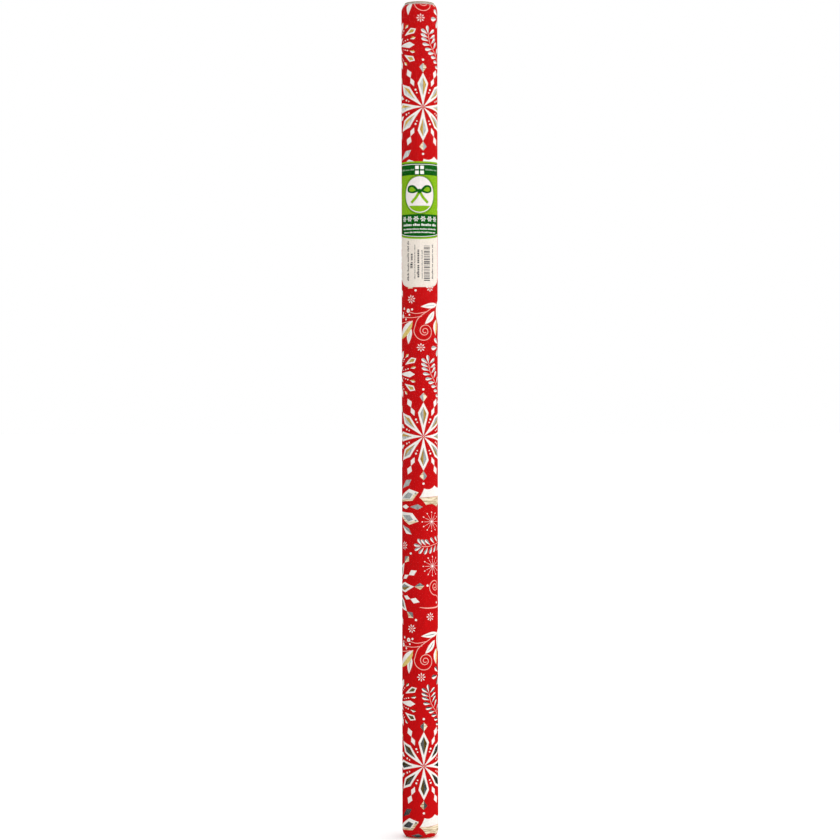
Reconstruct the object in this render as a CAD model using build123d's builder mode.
from build123d import *
import math
import os

# A roll of gift wrap standing on its end: a spiral-wound kraft core, one long printed sheet wound
# on it, a paper label laid on the front and a clear shrink film that holds it all together.
# Millimetres. The origin is the centre of the lower end, +Z runs along the roll's axis, and -Y is
# the front, where the label faces.

# ---- driving dimensions ----
SHEET_WIDTH = 762.0  # 30 in: the core is cut to the sheet's width
SHEET_LENGTH = 3048.0  # 10 ft of paper on the roll
BORE_RADIUS = 12.7  # 1 in bore through the core
PLY_THICKNESS = 0.29  # one kraft ply
GLUE_GAP = 0.02  # room between two curved faces that lie on each other
TURN_RADIUS = 16.2  # outside of the wound turns, under the outer turn
OUTER_TURN_THICKNESS = 0.18  # the last two thicknesses of paper, which end at the free edge
LABEL_THICKNESS = 0.1
FILM_THICKNESS = 0.06

# The ends of the roll are rounded, because the shrunk film pulls the paper's edges inwards. Each
# layer's shoulder is a quarter ellipse about the same centre, a little larger than the one below.
SHOULDER_RADIUS = 12.0  # distance of the shoulder's centre from the axis
SHOULDER_HEIGHT = 7.0  # and from the roll's end
END_GAP = 0.1  # from the wound turns' own ellipse to the outermost layer's, besides the layers

# free edge of the sheet, at the back
FREE_EDGE_AZIMUTH = 62.0  # degrees from +X, counter-clockwise from above
FREE_EDGE_GAP = 1.4  # degrees left open beside the edge
SHEET_EDGE_RADIUS = 15.0  # how far in the outer turn's own edge is pulled

# label, on the front
LABEL_LOW = 501.8
LABEL_HEIGHT = 114.2
LABEL_HALF_ANGLE = 78.0  # degrees to either side of the front
LABEL_CORNER_ANGLE = 45.0  # degrees taken by each rounded lower corner
LABEL_CORNER_HEIGHT = 11.0

# film: the mouth left open at each end, and the welded seam at the back
FILM_MOUTH_RADIUS = 13.45
SEAM_WIDTH = 3.0
SEAM_THICKNESS = 0.06
SEAM_AZIMUTH = 118.0
SEAM_END_MARGIN = 9.0

# ---- worked-out radii ----
ply_1_in = BORE_RADIUS
ply_1_out = ply_1_in + PLY_THICKNESS
ply_2_in = ply_1_out + GLUE_GAP
ply_2_out = ply_2_in + PLY_THICKNESS
turns_in = ply_2_out + GLUE_GAP
outer_turn_in = TURN_RADIUS + GLUE_GAP
outer_turn_out = outer_turn_in + OUTER_TURN_THICKNESS
label_in = outer_turn_out + GLUE_GAP
label_out = label_in + LABEL_THICKNESS
film_in = label_out + GLUE_GAP
film_out = film_in + FILM_THICKNESS

winding_pitch = math.pi * (outer_turn_out**2 - turns_in**2) / SHEET_LENGTH
turn_count = (outer_turn_out - turns_in) / winding_pitch
print(f"winding pitch {winding_pitch:.3f} mm, {turn_count:.1f} turns, outside {2 * film_out:.2f} mm")


def shoulder_axes(radius):
    """The two half-axes of the quarter ellipse by which the layer of this radius is rounded."""
    axial = SHOULDER_HEIGHT - END_GAP - (film_out - radius)
    return radius - SHOULDER_RADIUS, axial


def shoulder_depth(radius, at):
    """How far from the roll's end the layer's surface lies, at a distance from the axis."""
    radial, axial = shoulder_axes(radius)
    return SHOULDER_HEIGHT - axial * math.sqrt(1 - ((at - SHOULDER_RADIUS) / radial) ** 2)


def shoulder_angle(radius, at):
    """Where on its ellipse that point lies, in degrees from the axis' direction."""
    return math.degrees(math.asin((at - SHOULDER_RADIUS) / shoulder_axes(radius)[0]))


def half_plane(azimuth):
    """A plane through the roll's axis: its x points outwards at the azimuth and its y is +Z."""
    out = math.radians(azimuth)
    return Plane(
        origin=(0, 0, 0),
        x_dir=(math.cos(out), math.sin(out), 0),
        z_dir=(math.sin(out), -math.cos(out), 0),
    )


def at_azimuth(radius, azimuth):
    turn = math.radians(azimuth)
    return radius * math.cos(turn), radius * math.sin(turn)


def outline(radius, edge):
    """Draws one side of a layer inside an open BuildLine: up one shoulder, the side, the other."""
    radial, axial = shoulder_axes(radius)
    swing = 90 - shoulder_angle(radius, edge)
    low = (SHOULDER_RADIUS, SHOULDER_HEIGHT)
    high = (SHOULDER_RADIUS, SHEET_WIDTH - SHOULDER_HEIGHT)
    EllipticalCenterArc(low, radial, axial, start_angle=-swing, arc_size=swing)
    Line((radius, SHOULDER_HEIGHT), (radius, SHEET_WIDTH - SHOULDER_HEIGHT))
    EllipticalCenterArc(high, radial, axial, start_angle=0, arc_size=swing)


def across(inner, outer, edge):
    """Closes a layer between its two sides at both ends, along lines parallel to the axis."""
    for from_end in (lambda depth: depth, lambda depth: SHEET_WIDTH - depth):
        Line(
            (edge, from_end(shoulder_depth(inner, edge))),
            (edge, from_end(shoulder_depth(outer, edge))),
        )


def finish(part, name):
    part.label = name
    export_step(part, f"parts/{name}.step")


os.makedirs("parts", exist_ok=True)

# ---- core: two kraft plies ----
with BuildPart() as core_inner_ply:
    with BuildSketch(Plane.XY):
        Circle(ply_1_out)
        Circle(ply_1_in, mode=Mode.SUBTRACT)
    extrude(amount=SHEET_WIDTH)
finish(core_inner_ply.part, "core_inner_ply")

with BuildPart() as core_outer_ply:
    with BuildSketch(Plane.XY):
        Circle(ply_2_out)
        Circle(ply_2_in, mode=Mode.SUBTRACT)
    extrude(amount=SHEET_WIDTH)
finish(core_outer_ply.part, "core_outer_ply")

# ---- paper: the wound turns, pressed together, and the outer turn with its free edge ----
with BuildPart() as paper_wound_turns:
    with BuildSketch(half_plane(FREE_EDGE_AZIMUTH)):
        with BuildLine():
            outline(TURN_RADIUS, turns_in)
            Line(
                (turns_in, shoulder_depth(TURN_RADIUS, turns_in)),
                (turns_in, SHEET_WIDTH - shoulder_depth(TURN_RADIUS, turns_in)),
            )
        make_face()
    revolve(axis=Axis.Z)
finish(paper_wound_turns.part, "paper_wound_turns")

with BuildPart() as paper_outer_turn:
    with BuildSketch(half_plane(FREE_EDGE_AZIMUTH)):
        with BuildLine():
            outline(outer_turn_in, SHEET_EDGE_RADIUS)
            outline(outer_turn_out, SHEET_EDGE_RADIUS)
            across(outer_turn_in, outer_turn_out, SHEET_EDGE_RADIUS)
        make_face()
    revolve(axis=Axis.Z, revolution_arc=360 - FREE_EDGE_GAP)
finish(paper_outer_turn.part, "paper_outer_turn")

# ---- label: a sheet bent round the front, its lower corners rounded ----
FRONT = 270.0  # azimuth of -Y
label_left = FRONT - LABEL_HALF_ANGLE
label_right = FRONT + LABEL_HALF_ANGLE
half_width = label_out * math.sin(math.radians(LABEL_HALF_ANGLE))
flat_half_width = label_out * math.sin(math.radians(LABEL_HALF_ANGLE - LABEL_CORNER_ANGLE))
corner_width = half_width - flat_half_width

with BuildPart() as label:
    with BuildSketch(Plane.XY.offset(LABEL_LOW)):
        with BuildLine():
            for radius in (label_in, label_out):
                CenterArc((0, 0), radius, label_left, 2 * LABEL_HALF_ANGLE)
            for azimuth in (label_left, label_right):
                Line(at_azimuth(label_in, azimuth), at_azimuth(label_out, azimuth))
        make_face()
    extrude(amount=LABEL_HEIGHT)
    corner_top = LABEL_LOW + LABEL_CORNER_HEIGHT
    with BuildSketch(Plane.XZ):
        with BuildLine():
            Line((-flat_half_width, LABEL_LOW), (flat_half_width, LABEL_LOW))
            EllipticalCenterArc(
                (flat_half_width, corner_top),
                corner_width,
                LABEL_CORNER_HEIGHT,
                start_angle=-90,
                arc_size=90,
            )
            Polyline(
                (half_width, corner_top),
                (half_width, LABEL_LOW + LABEL_HEIGHT),
                (-half_width, LABEL_LOW + LABEL_HEIGHT),
                (-half_width, corner_top),
            )
            EllipticalCenterArc(
                (-flat_half_width, corner_top),
                corner_width,
                LABEL_CORNER_HEIGHT,
                start_angle=180,
                arc_size=90,
            )
        make_face()
    extrude(amount=2 * film_out, mode=Mode.INTERSECT)
finish(label.part, "label")

# ---- shrink film: a sleeve rounded over both ends, with its welded seam lying flat ----
with BuildPart() as shrink_film:
    with BuildSketch(half_plane(SEAM_AZIMUTH)):
        with BuildLine():
            outline(film_in, FILM_MOUTH_RADIUS)
            outline(film_out, FILM_MOUTH_RADIUS)
            across(film_in, film_out, FILM_MOUTH_RADIUS)
        make_face()
    revolve(axis=Axis.Z)
    seam_angle = math.degrees(SEAM_WIDTH / film_out)
    seam_in = film_out - FILM_THICKNESS / 2
    seam_out = film_out + SEAM_THICKNESS
    seam_start = SEAM_AZIMUTH - seam_angle / 2
    with BuildSketch(Plane.XY.offset(SEAM_END_MARGIN)):
        with BuildLine():
            for radius in (seam_in, seam_out):
                CenterArc((0, 0), radius, seam_start, seam_angle)
            for azimuth in (seam_start, seam_start + seam_angle):
                Line(at_azimuth(seam_in, azimuth), at_azimuth(seam_out, azimuth))
        make_face()
    extrude(amount=SHEET_WIDTH - 2 * SEAM_END_MARGIN)
finish(shrink_film.part, "shrink_film")
